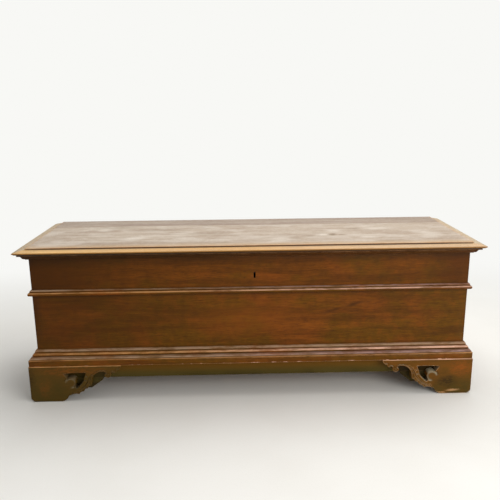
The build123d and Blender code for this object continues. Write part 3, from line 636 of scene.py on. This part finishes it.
def foot_walnut(name, axis):
    """Walnut of the feet: as the body, with dirt and dust, painted shade on the left, and pale
    scuffs near the sole.
    """

    def marks(f, colour):
        c = f.colours
        colour = f.mix(0.35, colour, c.foot_plain)
        splash = f.cloud(f.here, 16, 3)
        low = f.times(f.ease(f.z, 0.0, 0.110, 0.9, 0.1), f.ease(splash, 0.34, 0.62, 0.35, 1.0))
        colour = f.mix(low, colour, c.foot_dark)
        # Painted shade: the feet on the left are darker, most on their fronts.
        left_feet_shade = f.ease(f.x, -0.3, 0.3, 0.62, 0.0)
        left_feet_shade = f.times(left_feet_shade, f.ease(f.y, -0.19, -0.12, 1.0, 0.25))
        colour = f.mix(left_feet_shade, colour, c.foot_dark)
        torn = TornPlaces(f, f.cloud(f.here, 34, 4, 0.7, output=1), 0.036)
        mottle = f.ease(f.cloud(f.stretched(f.here, (1, 1, 2)), 90, 3, 0.7), 0.38, 0.60, 0.25, 1.0)
        for (centre_x, centre_z), (reach_x, reach_z), share, patch_colour in FOOT_PATCHES:
            patch = torn.spot((centre_x, FOOT_FACE, centre_z), (reach_x, 0.05, reach_z), 0.0)
            patch = f.times(f.times(patch, mottle), share)
            colour = f.mix(patch, colour, getattr(c, patch_colour))
        torn = TornPlaces(f, f.cloud(f.here, 60, 3, output=1), 0.012)
        for centre_x, centre_z, reach_x, reach_z in SCUFFS:
            spot = torn.spot((centre_x, FOOT_FACE, centre_z), (reach_x, 0.03, reach_z), 0.1)
            colour = f.mix(f.times(spot, 0.75), colour, c.worn_edge)
        return colour

    return polished_walnut(name, axis, marks, dusty=0.85)


def bare_wood(name, axis, deep, plain):
    """Unpolished, aged wood of the parts that nobody sees."""
    f = Finish(name, 0.15)
    c = f.colours
    grain = Grain(f, axis)
    height, pore = wood_height(f, grain)
    deep, plain = getattr(c, deep), getattr(c, plain)
    colour = f.mix(f.ease(grain.streaks, 0.36, 0.60, 0.35, 1.0), deep, plain)
    colour = f.mix(f.ease(grain.patches, 0.45, 0.7, 0.0, 0.35), colour, deep)
    colour = f.mix(f.ease(grain.fibres, 0.36, 0.62, 0.35, 0.0), colour, deep)
    colour = f.mix(f.times(pore, 0.35), colour, c.grime)
    colour = f.mix(f.times(f.attribute("worn"), 0.25), colour, c.bare_plain)
    # Inner corners darkened: dirt and painted shade.
    colour = f.mix(f.times(f.attribute("grime"), 0.6), colour, c.grime)
    return f.finish(colour, f.ease(grain.dents, 0.3, 0.7, 0.68, 0.82), height, 0.0008, 0.8)


def forged_iron(name, _axis):
    """Dark forged iron with hammer marks and thin rust."""
    f = Finish(name, 0.5)
    c = f.colours
    hammer = f.cloud(f.here, 90, 2)
    pits = f.cloud(f.here, 700, 3, 0.7)
    rust = f.ease(f.cloud(f.here, 45, 4, 0.7), 0.46, 0.62)
    colour = f.mix(f.times(rust, 0.8), c.iron, c.rust)
    colour = f.mix(f.ease(pits, 0.55, 0.7, 0.0, 0.4), colour, c.grime)
    f.feed(f.shader.inputs["Metallic"], f.ease(rust, 0, 1, 0.85, 0.25))
    height = f.sum(hammer, f.times(pits, 0.15))
    return f.finish(colour, f.ease(rust, 0, 1, 0.48, 0.78), height, 0.0012, 0.6)


FINISHES = {
    "lid": lid_walnut,
    "front": partial(polished_walnut, marks=front_marks, beaded=False),
    "moulding": partial(polished_walnut, marks=moulding_marks),
    "foot": foot_walnut,
    "bare": partial(bare_wood, deep="bare_deep", plain="bare_plain"),
    "under": partial(bare_wood, deep="grime", plain="under"),
    "iron": forged_iron,
}
MADE = {}


def finish_for(kind, axis=0):
    """The material of one kind and grain direction, made the first time it is asked for."""
    key = f"{kind}_{'xyz'[axis]}"
    if key not in MADE:
        MADE[key] = FINISHES[kind](key, axis)
    return MADE[key]


# Shapes


def put_in_scene(name, data):
    thing = bpy.data.objects.new(name, data)
    bpy.context.scene.collection.objects.link(thing)
    return thing


def whole_copy(node):
    """A copy of a packed node with its loose triangles merged into whole faces."""
    bm = bmesh.new()
    bm.from_mesh(frame["nodes"][node].data)
    bmesh.ops.remove_doubles(bm, verts=bm.verts, dist=MERGE_DISTANCE)
    bmesh.ops.dissolve_limit(bm, angle_limit=FLAT_ANGLE, verts=bm.verts, edges=bm.edges)
    for layer in ("worn", "grime", "dust", "board"):
        bm.verts.layers.float.new(layer)
    bm.faces.layers.int.new("arris")
    return bm


def everything(bm):
    return bm.verts[:] + bm.edges[:] + bm.faces[:]


def is_inner_corner(edge):
    return edge.is_manifold and not edge.is_convex and edge.calc_face_angle() > SHARP_ANGLE


def ease_edges(bm, width, wanted=None):
    """Rounds the sharp outer edges and remembers the narrow faces that this makes."""
    chosen = [
        edge for edge in bm.edges
        if edge.is_manifold and edge.is_convex and edge.calc_face_angle() > SHARP_ANGLE
        and (wanted is None or wanted(edge))
    ]
    made = bmesh.ops.bevel(
        bm, geom=chosen, offset=width, offset_type="OFFSET", affect="EDGES",
        segments=ARRIS_STEPS, profile=0.5, material=-1, clamp_overlap=False,
    )
    arris = bm.faces.layers.int["arris"]
    for face in made["faces"]:
        face[arris] = 1


def mark_wear(bm):
    """Marks the middle of each rounded edge as worn, and the inner corners for dirt and painted
    shade.
    """
    arris = bm.faces.layers.int["arris"]
    worn = bm.verts.layers.float["worn"]
    grime = bm.verts.layers.float["grime"]
    for vert in bm.verts:
        if all(face[arris] for face in vert.link_faces):
            vert[worn] = 1.0
    for edge in filter(is_inner_corner, bm.edges):
        for vert in edge.verts:
            if not any(face[arris] for face in vert.link_faces):
                vert[grime] = 1.0


def slice_faces(bm, axis, pitch, wanted=everything):
    """Cuts the piece, or only some of its faces, into strips across one axis."""
    places = [vert.co[axis] for vert in bm.verts]
    low, high = min(places), max(places)
    count = max(1, round((high - low) / pitch))
    normal = Vector([1.0 if place == axis else 0.0 for place in range(3)])
    for step in range(1, count):
        point = normal * (low + (high - low) * step / count)
        bmesh.ops.bisect_plane(
            bm, geom=wanted(bm), dist=MERGE_DISTANCE, plane_co=point, plane_no=normal
        )


def hand_planed(bm, node, sway, nibble):
    """Lets the faces wander and bites into worn edges, never outside the node's own box."""
    worn = bm.verts.layers.float["worn"]
    low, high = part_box(node)
    noise.seed_set(WAVE_SEED)
    bm.normal_update()
    moves = []
    for vert in bm.verts:
        slow = noise.noise_vector(vert.co * SLOW_WAVE)
        quick = noise.noise_vector(vert.co * QUICK_WAVE)
        bite = max(0.0, noise.noise(vert.co * BITE_WAVE)) * nibble * vert[worn]
        moves.append(vert.co + slow * sway + quick * sway * QUICK_SHARE - vert.normal * bite)
    for vert, place in zip(bm.verts, moves):
        vert.co = [min(max(place[axis], low[axis]), high[axis]) for axis in range(3)]


def set_board(bm, number):
    board = bm.verts.layers.float["board"]
    for vert in bm.verts:
        vert[board] = number


def body_of(node):
    return frame["nodes"][node]["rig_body"]


def finish_piece(bm, node, material):
    """Turns a bmesh into the object that stands for a node, smooth except at sharp edges."""
    for face in bm.faces:
        face.smooth = True
    for edge in bm.edges:
        edge.smooth = not edge.is_manifold or edge.calc_face_angle() < SHARP_ANGLE
    bm.faces.layers.int.remove(bm.faces.layers.int["arris"])
    name = f"{node}_wood"
    mesh = bpy.data.meshes.new(name)
    bm.to_mesh(mesh)
    bm.free()
    piece = put_in_scene(name, mesh)
    mesh.materials.append(material)
    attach(piece, body_of(node))
    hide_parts(node)


def long_edge(edge):
    return edge.calc_length() > SHORTEST_EASED


def worn_piece(node, kind, axis, pitch, arris=None, wanted=long_edge, cross=None):
    """The usual piece of wood: a node's own shape with eased edges and hand-planed faces."""
    wear = bpy.context.scene.chest_wear
    bm = whole_copy(node)
    ease_edges(bm, wear.arris if arris is None else arris, wanted)
    slice_faces(bm, axis, pitch)
    if cross is not None:
        slice_faces(bm, cross, pitch)
    mark_wear(bm)
    set_board(bm, sum(map(ord, node)) % BOARD_COUNT / BOARD_STEP)
    hand_planed(bm, node, wear.sway, wear.nibble)
    finish_piece(bm, node, finish_for(kind, axis))


# Carving of the front feet. Places are millimetres inward from the outer corner, and up;
# widths, depths and radii are millimetres too, and turns are degrees.

LEAF_VEINS = (
    ((214, 103), (203, 94), (195, 82), (190, 68), (180, 54), (166, 42), (151, 34), (136, 30)),
    ((199, 58), (191, 66)),
    ((189, 45), (180, 54)),
    ((175, 35), (167, 44)),
    ((160, 26), (155, 37)),
    ((134, 23), (140, 35)),
    ((204, 75), (194, 82)),
    ((211, 90), (201, 96)),
    ((183, 92), (192, 86)),
    ((177, 76), (189, 72)),
)
VEIN_ENDS = 0.06
RIDGE_OFFSET = 1.0
RIDGE_HALF = 1.2
CURL_EYE = (259, 91)
CURL_RADIUS = 5.2
CURL_GROOVE = (1.6, 1.4)
BOSS = (135, 66)
BOSS_HOLLOW = 9
BOSS_RADIUS = 17
BOSS_EDGE = 3
BOSS_FALL = 5.0
BOSS_MIDDLE, BOSS_HALF_TURN, BOSS_FADE = 40, 90, 55
BOSS_TAIL = ((121, 82), (116, 78), (114, 72))
TAIL_GROOVE = (1.6, 1.6)
ARCH_LINE_START = 196
OUTLINE_START = 5
RIM_WEAR = (2.4, 0.9)
RIM_ROUNDING = (3.0, 0.8)
RIDGE_WEAR = 0.45
FULL_GRIME_AND_SHADE = 1.6
FULL_DUST = 2.5
GRIME_AND_SHADE_SHARE = 0.8
FOOT_WAVE_SHARE = 0.6
FOOT_BOARD = 1.7


def distance_to_line(place, line):
    """From a place to the nearest point of a broken line, with how far along that is."""
    best, best_share = 1e9, 0.0
    for step, (start, end) in enumerate(zip(line, line[1:])):
        ax, az = start
        dx, dz = end[0] - ax, end[1] - az
        share = ((place[0] - ax) * dx + (place[1] - az) * dz) / (dx * dx + dz * dz)
        share = min(max(share, 0.0), 1.0)
        distance = math.hypot(place[0] - ax - dx * share, place[1] - az - dz * share)
        if distance < best:
            best, best_share = distance, (step + share) / (len(line) - 1)
    return best, best_share


def groove(distance, half, deepest):
    """Depth of a round-bottomed groove of a half width at a distance from its middle line."""
    return deepest * (1 - (distance / half) ** 2) if distance < half else 0.0


def cut_depth(place, edge_distance):
    """Depth of the carving at a place on the foot, and how near a cut's ridge it is."""
    carving = bpy.context.scene.chest_carving
    half = carving.gouge_width / MILLIMETRE / 2
    deepest = carving.gouge_depth / MILLIMETRE
    depth, ridge = 0.0, 0.0
    for line in LEAF_VEINS:
        distance, share = distance_to_line(place, line)
        taper = math.sin(math.pi * min(max(share, VEIN_ENDS), 1 - VEIN_ENDS)) ** 0.5
        depth = max(depth, groove(distance, half * taper, deepest * taper))
        ridge = max(ridge, 1 - abs(distance - half - RIDGE_OFFSET) / RIDGE_HALF)
    depth = max(depth, groove(distance_to_line(place, BOSS_TAIL)[0], *TAIL_GROOVE))
    radius = math.hypot(place[0] - CURL_EYE[0], place[1] - CURL_EYE[1])
    depth = max(depth, groove(abs(radius - CURL_RADIUS), *CURL_GROOVE))
    if place[0] > ARCH_LINE_START:
        half_line = carving.line_width / MILLIMETRE / 2
        off_line = abs(edge_distance - carving.line_inset / MILLIMETRE)
        depth = max(depth, groove(off_line, half_line, carving.line_depth / MILLIMETRE))
    return depth, max(0.0, ridge)


def boss_depth(place):
    """How far the boss beside the opening curls away from the face, round its rim."""
    radius = math.hypot(place[0] - BOSS[0], place[1] - BOSS[1])
    angle = math.degrees(math.atan2(place[1] - BOSS[1], place[0] - BOSS[0]))
    off = max(0.0, abs(angle - BOSS_MIDDLE) - BOSS_HALF_TURN)
    fall = BOSS_FALL * max(0.0, 1 - off / BOSS_FADE)
    if radius < BOSS_RADIUS:
        return fall * max(0.0, (radius - BOSS_HOLLOW) / (BOSS_RADIUS - BOSS_HOLLOW)) ** 2
    return fall * max(0.0, 1 - (radius - BOSS_RADIUS) / BOSS_EDGE)


def carved_foot(node, side):
    """A scroll foot with its leaf veins, volute and the line beside the arch cut in."""
    wear = bpy.context.scene.chest_wear
    carving = bpy.context.scene.chest_carving
    low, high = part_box(node)
    outer_x = low.x if side < 0 else high.x
    face_y = low.y
    bm = whole_copy(node)

    def outline_edge(edge):
        return all(abs(vert.co.y - face_y) < MERGE_DISTANCE for vert in edge.verts)

    def inward(co):
        return abs(co.x - outer_x) / MILLIMETRE, co.z / MILLIMETRE

    outline = []
    for edge in bm.edges:
        if not outline_edge(edge) or edge.calc_face_angle(0) < SHARP_ANGLE:
            continue
        start, end = (vert.co for vert in edge.verts)
        if (start.z + end.z) / 2 > RAIL_FOOT:
            continue
        if min(inward(start)[0], inward(end)[0]) < OUTLINE_START:
            continue
        steps = max(1, round((end - start).length / MILLIMETRE))
        outline += [start.lerp(end, step / steps) for step in range(steps + 1)]
    ease_edges(bm, FOOT_ARRIS, outline_edge)
    near = kdtree.KDTree(len(outline))
    for number, co in enumerate(outline):
        near.insert(co, number)
    near.balance()

    def front_face(mesh):
        faces = [face for face in mesh.faces if face.normal.y < -0.999]
        edges = dict.fromkeys(edge for face in faces for edge in face.edges)
        verts = dict.fromkeys(vert for face in faces for vert in face.verts)
        return [*verts, *edges, *faces]

    slice_faces(bm, 0, carving.pitch, front_face)
    slice_faces(bm, 2, carving.pitch, front_face)
    mark_wear(bm)
    grime, worn, dust = (bm.verts.layers.float[layer] for layer in ("grime", "worn", "dust"))
    for vert in bm.verts:
        if abs(vert.co.y - face_y) > MERGE_DISTANCE:
            continue
        if any(face.normal.y > -0.99 for face in vert.link_faces):
            continue
        place = inward(vert.co)
        edge_distance = near.find(vert.co)[2] / MILLIMETRE
        depth, ridge = cut_depth(place, edge_distance)
        roll = boss_depth(place)
        # Cuts darkened by their depth: dirt and painted shade.
        vert[grime] = min(1.0, depth / FULL_GRIME_AND_SHADE) * GRIME_AND_SHADE_SHARE
        vert[dust] = min(1.0, roll / FULL_DUST)
        vert[worn] = max(groove(edge_distance, *RIM_WEAR), RIDGE_WEAR * ridge) * (1 - vert[dust])
        vert.co.y += (max(depth, roll) + groove(edge_distance, *RIM_ROUNDING)) * MILLIMETRE
    set_board(bm, FOOT_BOARD + side)
    hand_planed(bm, node, wear.sway * FOOT_WAVE_SHARE, wear.nibble * FOOT_WAVE_SHARE)
    finish_piece(bm, node, finish_for("foot"))


def with_finish(node, kind):
    """Gives a packed node its finish as it is."""
    slots = frame["nodes"][node].data.materials
    slots.clear()
    slots.append(finish_for(kind))


FLOOR_RADIUS = 40
FLOOR_SIDES = 96
FLOOR_DROP = Matrix.Translation((0, 0, -0.0003))
FLOOR_WORN = paint(226, 223, 215)
FLOOR_SPECK = paint(220, 217, 208)
FLOOR_FADE = (0.55, 1.7)


def make_floor(settings):
    """A wide pale floor that fades into the backdrop far from the chest."""
    bm = bmesh.new()
    bmesh.ops.create_circle(
        bm, cap_ends=True, segments=FLOOR_SIDES, radius=FLOOR_RADIUS, matrix=FLOOR_DROP
    )
    mesh = bpy.data.meshes.new("floor")
    bm.to_mesh(mesh)
    bm.free()
    floor = put_in_scene("floor", mesh)
    f = Finish("pale_floor")
    near_chest = f.stretched(f.here, (0.55, 1.0, 1.0))
    distance = f.add("ShaderNodeVectorMath", {0: near_chest}, "Value", operation="LENGTH")
    speckle = f.cloud(f.here, 260, 3, 0.6)
    worn = f.cloud(f.here, 3.0, 3, 0.5)
    colour = f.mix(f.ease(worn, 0.35, 0.65, 0.0, 0.25), settings.floor, FLOOR_WORN)
    colour = f.mix(f.ease(speckle, 0.5, 0.7, 0.0, 0.2), colour, FLOOR_SPECK)
    f.feed(f.shader.inputs["Base Color"], colour)
    f.feed(f.shader.inputs["Roughness"], 0.7)
    glow = f.add("ShaderNodeEmission", {"Color": settings.backdrop, "Strength": 1.0})
    far = f.ease(distance, *FLOOR_FADE)
    seen = f.add("ShaderNodeLightPath", {}, "Is Camera Ray")
    blend = f.add("ShaderNodeMixShader", {0: f.times(far, seen), 1: f.shader.outputs[0], 2: glow})
    f.links.new(blend, f.nodes["Material Output"].inputs["Surface"])
    mesh.materials.append(f.material)


def make_world(settings):
    """Even light from all round, and a pale backdrop where the camera or a gloss sees it."""
    world = bpy.data.worlds.new("studio")
    world.use_nodes = True
    nodes, links = world.node_tree.nodes, world.node_tree.links
    backdrop = nodes.new("ShaderNodeBackground")
    backdrop.inputs["Color"].default_value = (*settings.backdrop, 1)
    ambient = nodes["Background"]
    ambient.inputs["Color"].default_value = (1, 1, 1, 1)
    ambient.inputs["Strength"].default_value = settings.ambient
    path = nodes.new("ShaderNodeLightPath")
    looking = path.outputs["Is Camera Ray"]
    for ray in ("Is Glossy Ray", "Is Transmission Ray"):
        either = nodes.new("ShaderNodeMath")
        either.operation = "MAXIMUM"
        links.new(looking, either.inputs[0])
        links.new(path.outputs[ray], either.inputs[1])
        looking = either.outputs[0]
    blend = nodes.new("ShaderNodeMixShader")
    links.new(looking, blend.inputs[0])
    links.new(ambient.outputs[0], blend.inputs[1])
    links.new(backdrop.outputs[0], blend.inputs[2])
    links.new(blend.outputs[0], nodes["World Output"].inputs["Surface"])
    bpy.context.scene.world = world


# Lamps, each named as the setting that holds its power: place, what it points at, and size.
LAMPS = {
    "overhead": ((0.5, 0.4, 2.6), (0, 0, 0.3), (3.0, 2.0)),
    "front": ((1.9, -2.5, 1.3), (0.2, 0, 0.2), (2.0, 1.4)),
}


def make_lamp(name, place, target, size, power):
    data = bpy.data.lights.new(name, "AREA")
    data.shape = "RECTANGLE"
    data.size, data.size_y = size
    data.energy = power
    lamp = put_in_scene(name, data)
    lamp.location = place
    lamp.rotation_euler = (Vector(target) - Vector(place)).to_track_quat("-Z", "Y").to_euler()


CAMERA_PLACE = (-0.0490, -2.0378, 0.9566)
CAMERA_YAW = math.radians(-1.397)
CAMERA_PITCH = math.radians(90 - 13.807)
CAMERA_ROLL = math.radians(-0.551)
CAMERA_LENS = 42.50
CAMERA_SENSOR = 36


def make_camera():
    data = bpy.data.cameras.new("camera")
    data.sensor_width = CAMERA_SENSOR
    data.lens = CAMERA_LENS
    camera = put_in_scene("camera", data)
    turn = Euler((0, 0, CAMERA_YAW)).to_matrix() @ Euler((CAMERA_PITCH, 0, 0)).to_matrix()
    turn = turn @ Euler((0, 0, CAMERA_ROLL)).to_matrix()
    camera.matrix_world = Matrix.Translation(CAMERA_PLACE) @ turn.to_4x4()
    bpy.context.scene.camera = camera
    bpy.context.scene.view_settings.view_transform = "Standard"


# Operators, one for each piece or group of like pieces


class ChestStep:
    """What all the chest's operators share."""

    bl_options = {"REGISTER", "UNDO"}


class CHEST_OT_lid_planks(ChestStep, bpy.types.Operator):
    """Make the two planks of the lid, bleached on top, with a worn tan border"""

    bl_idname = "chest.lid_planks"
    bl_label = "Lid planks"

    def execute(self, context):
        arris = context.scene.chest_wear.worn_arris
        for node in ("lid_front_plank", "lid_back_plank"):
            worn_piece(node, "lid", 0, 0.02, arris * 0.6, cross=1)
        return {"FINISHED"}


class CHEST_OT_mouldings(ChestStep, bpy.types.Operator):
    """Make the mouldings round the lid, the body and the plinth"""

    bl_idname = "chest.mouldings"
    bl_label = "Mouldings"

    def execute(self, context):
        for pattern, arris in (
            ("lid_{}_moulding", 0.0004),
            ("{}_string_moulding", 0.0006),
            ("{}_base_moulding", 0.0006),
            ("{}_plinth_rail", 0.0010),
        ):
            for place, axis in (("front", 0), ("left", 1), ("right", 1)):
                worn_piece(pattern.format(place), "moulding", axis, 0.008, arris)
        return {"FINISHED"}


class CHEST_OT_walls(ChestStep, bpy.types.Operator):
    """Make the four walls, dovetailed at the corners"""

    bl_idname = "chest.walls"
    bl_label = "Walls"

    def execute(self, context):
        for node, kind, axis in (
            ("front_board", "front", 0),
            ("back_board", "bare", 0),
            ("left_end_board", "front", 1),
            ("right_end_board", "front", 1),
        ):
            worn_piece(node, kind, axis, 0.03, cross=2)
        return {"FINISHED"}


class CHEST_OT_front_feet(ChestStep, bpy.types.Operator):
    """Carve the two pierced scroll feet"""

    bl_idname = "chest.front_feet"
    bl_label = "Front feet"

    def execute(self, context):
        carved_foot("front_left_foot", -1)
        carved_foot("front_right_foot", 1)
        return {"FINISHED"}


class CHEST_OT_side_feet(ChestStep, bpy.types.Operator):
    """Make the brackets at the ends and the feet at the back"""

    bl_idname = "chest.side_feet"
    bl_label = "Side and back feet"

    def execute(self, context):
        for side in ("left", "right"):
            for place in ("front", "rear"):
                node = f"{side}_{place}_side_foot"
                worn_piece(node, "foot", 1, 0.012, arris=0.0012, wanted=None)
            node = f"{side}_back_foot"
            worn_piece(node, "bare", 0, 0.02, arris=0.001, wanted=None)
        return {"FINISHED"}


class CHEST_OT_inner_wood(ChestStep, bpy.types.Operator):
    """Make the bottom, the corner and glue blocks and the lid's battens"""

    bl_idname = "chest.inner_wood"
    bl_label = "Bottom, blocks and battens"

    def execute(self, context):
        for place in ("front", "middle", "rear"):
            worn_piece(f"bottom_{place}_plank", "bare", 0, 0.04)
        for side in ("left", "right"):
            worn_piece(f"lid_{side}_batten", "bare", 1, 0.02)
            node = f"front_{side}_glue_block"
            worn_piece(node, "under", 0, 0.02, arris=0.001, wanted=None)
            for place in ("front", "rear"):
                node = f"{place}_{side}_corner_block"
                worn_piece(node, "under", 2, 0.02, arris=0.001)
        return {"FINISHED"}


class CHEST_OT_ironwork(ChestStep, bpy.types.Operator):
    """Give the hinges, the lock, the staple and the nails their forged finish"""

    bl_idname = "chest.ironwork"
    bl_label = "Ironwork"

    def execute(self, context):
        for node in frame["nodes"]:
            if node.startswith(("hinge_", "lock_")) or node.endswith(("_nails", "_staple")):
                with_finish(node, "iron")
        return {"FINISHED"}


class CHEST_OT_stage(ChestStep, bpy.types.Operator):
    """Set up the pale floor, the soft lamps and the camera"""

    bl_idname = "chest.stage"
    bl_label = "Stage"

    def execute(self, context):
        settings = context.scene.chest_stage
        make_floor(settings)
        make_world(settings)
        for name, (place, target, size) in LAMPS.items():
            make_lamp(name, place, target, size, getattr(settings, name))
        make_camera()
        return {"FINISHED"}


STEPS = (
    CHEST_OT_lid_planks,
    CHEST_OT_mouldings,
    CHEST_OT_walls,
    CHEST_OT_front_feet,
    CHEST_OT_side_feet,
    CHEST_OT_inner_wood,
    CHEST_OT_ironwork,
    CHEST_OT_stage,
)


class CHEST_PT_panel(bpy.types.Panel):
    """Lists the chest's pieces and settings"""

    bl_idname = "CHEST_PT_panel"
    bl_label = "Walnut chest"
    bl_space_type = "VIEW_3D"
    bl_region_type = "UI"
    bl_category = "Chest"

    def draw(self, context):
        for step in STEPS:
            self.layout.operator(step.bl_idname)
        for name, group in SETTINGS.items():
            box = self.layout.box()
            box.label(text=group.__doc__)
            for setting in group.__annotations__:
                box.prop(getattr(context.scene, name), setting)


def register():
    for group in SETTINGS.values():
        bpy.utils.register_class(group)
    for name, group in SETTINGS.items():
        setattr(bpy.types.Scene, name, bpy.props.PointerProperty(type=group))
    for step in (*STEPS, CHEST_PT_panel):
        bpy.utils.register_class(step)


def unregister():
    for step in (CHEST_PT_panel, *reversed(STEPS)):
        bpy.utils.unregister_class(step)
    for name, group in SETTINGS.items():
        delattr(bpy.types.Scene, name)
        bpy.utils.unregister_class(group)


def main():
    register()
    for step in STEPS:
        section, action = step.bl_idname.split(".")
        getattr(getattr(bpy.ops, section), action)()


if __name__ == "__main__":
    main()
